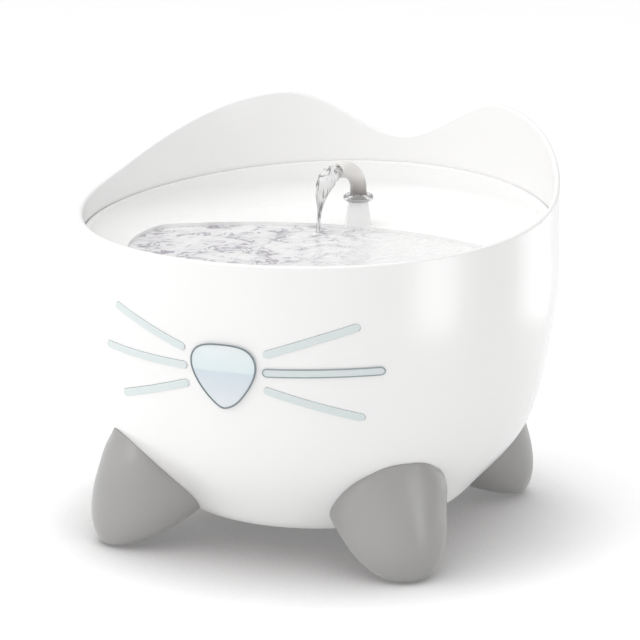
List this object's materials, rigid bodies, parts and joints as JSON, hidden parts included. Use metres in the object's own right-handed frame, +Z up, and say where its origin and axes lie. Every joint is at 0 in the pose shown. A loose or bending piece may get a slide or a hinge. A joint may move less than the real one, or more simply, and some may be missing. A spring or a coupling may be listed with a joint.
{
  "type": "pet water fountain",
  "caption": "Round pet water fountain with ear-shaped rear wall, tray with gooseneck spout, level window, whisker strips, cone feet, pump and filter.",
  "frame": {"origin": "on the ground under the tub's axis", "axes": "+Z up, the face with nose and whiskers towards -Y, +X to the right seen from the front"},
  "size_m": [0.2451, 0.2455, 0.2046],
  "materials": {
    "white_gloss": "glossy moulded",
    "tray_white": "glossy moulded",
    "clear_blue": "clear tinted plastic",
    "foot_grey": "satin moulded",
    "grey_rubber": "matte",
    "seal_rubber": "soft translucent",
    "screw_steel": "plain",
    "clear_ring": "clear plastic",
    "spout_grey": "satin",
    "hose_clear": "soft silicone",
    "pump_black": "fine texture",
    "slider_grey": "satin",
    "core_steel": "laminated",
    "copper_winding": "enamelled wire",
    "ceramic": "polished",
    "magnet_dark": "plain",
    "impeller_white": "moulded",
    "filter_felt": "felt",
    "carbon_felt": "granules in felt",
    "blue_foam": "open foam"
  },
  "bodies": {
    "tub": {"reservoir": "white_gloss", "nose_window": "clear_blue", "nose_gasket": "grey_rubber", "whisker_left_upper": "clear_blue", "whisker_left_middle": "clear_blue", "whisker_left_lower": "clear_blue", "whisker_right_upper": "clear_blue", "whisker_right_middle": "clear_blue", "whisker_right_lower": "clear_blue", "foot_front_right": "foot_grey", "foot_rear_right": "foot_grey", "foot_rear_left": "foot_grey", "foot_front_left": "foot_grey", "foot_pads": "grey_rubber", "foot_screws": "screw_steel", "cable_grommet": "grey_rubber", "riser_hose": "hose_clear", "pump_housing": "pump_black", "pump_base_plate": "pump_black", "suction_cups": "seal_rubber", "stator_core": "core_steel", "stator_coil": "copper_winding", "impeller_shaft": "ceramic", "rear_bush": "seal_rubber"},
    "tray": {"drinking_tray": "tray_white"},
    "basket": {"filter_basket": "tray_white", "filter_cotton": "filter_felt", "filter_carbon": "carbon_felt", "filter_foam": "blue_foam"},
    "grille": {"drain_grille": "tray_white"},
    "collar": {"spout_collar": "clear_ring", "spout_seal": "seal_rubber"},
    "spout": {"spout": "spout_grey"},
    "wheel": {"rotor_magnet": "magnet_dark", "impeller": "impeller_white"},
    "cover": {"pump_cover": "pump_black", "front_bush": "seal_rubber"},
    "slider": {"flow_slider": "slider_grey"}
  },
  "joints": [
    {"name": "tray_lift", "type": "slide", "parent": "tub", "child": "tray", "axis": [0, 0, 1], "range_m": [0, 0.08]},
    {"name": "basket_lift", "type": "slide", "parent": "tray", "child": "basket", "axis": [0, 0, 1], "range_m": [0, 0.034]},
    {"name": "grille_lift", "type": "slide", "parent": "basket", "child": "grille", "axis": [0, 0, 1], "range_m": [0, 0.012]},
    {"name": "collar_pull", "type": "slide", "parent": "tray", "child": "collar", "axis": [0, 0, 1], "range_m": [0, 0.016]},
    {"name": "spout_swivel", "type": "hinge", "parent": "collar", "child": "spout", "pos_m": [0, 0.0565, 0.16], "axis": [0, 0, 1], "range_deg": [-60, 60]},
    {"name": "impeller_spin", "type": "hinge", "parent": "tub", "child": "wheel", "pos_m": [0, 0.045, 0.04138], "axis": [0, 1, 0], "continuous": true},
    {"name": "cover_pull", "type": "slide", "parent": "tub", "child": "cover", "axis": [0, 1, 0], "range_m": [0, 0.004]},
    {"name": "flow_slide", "type": "slide", "parent": "cover", "child": "slider", "axis": [1, 0, 0], "range_m": [0, 0.005]}
  ]
}
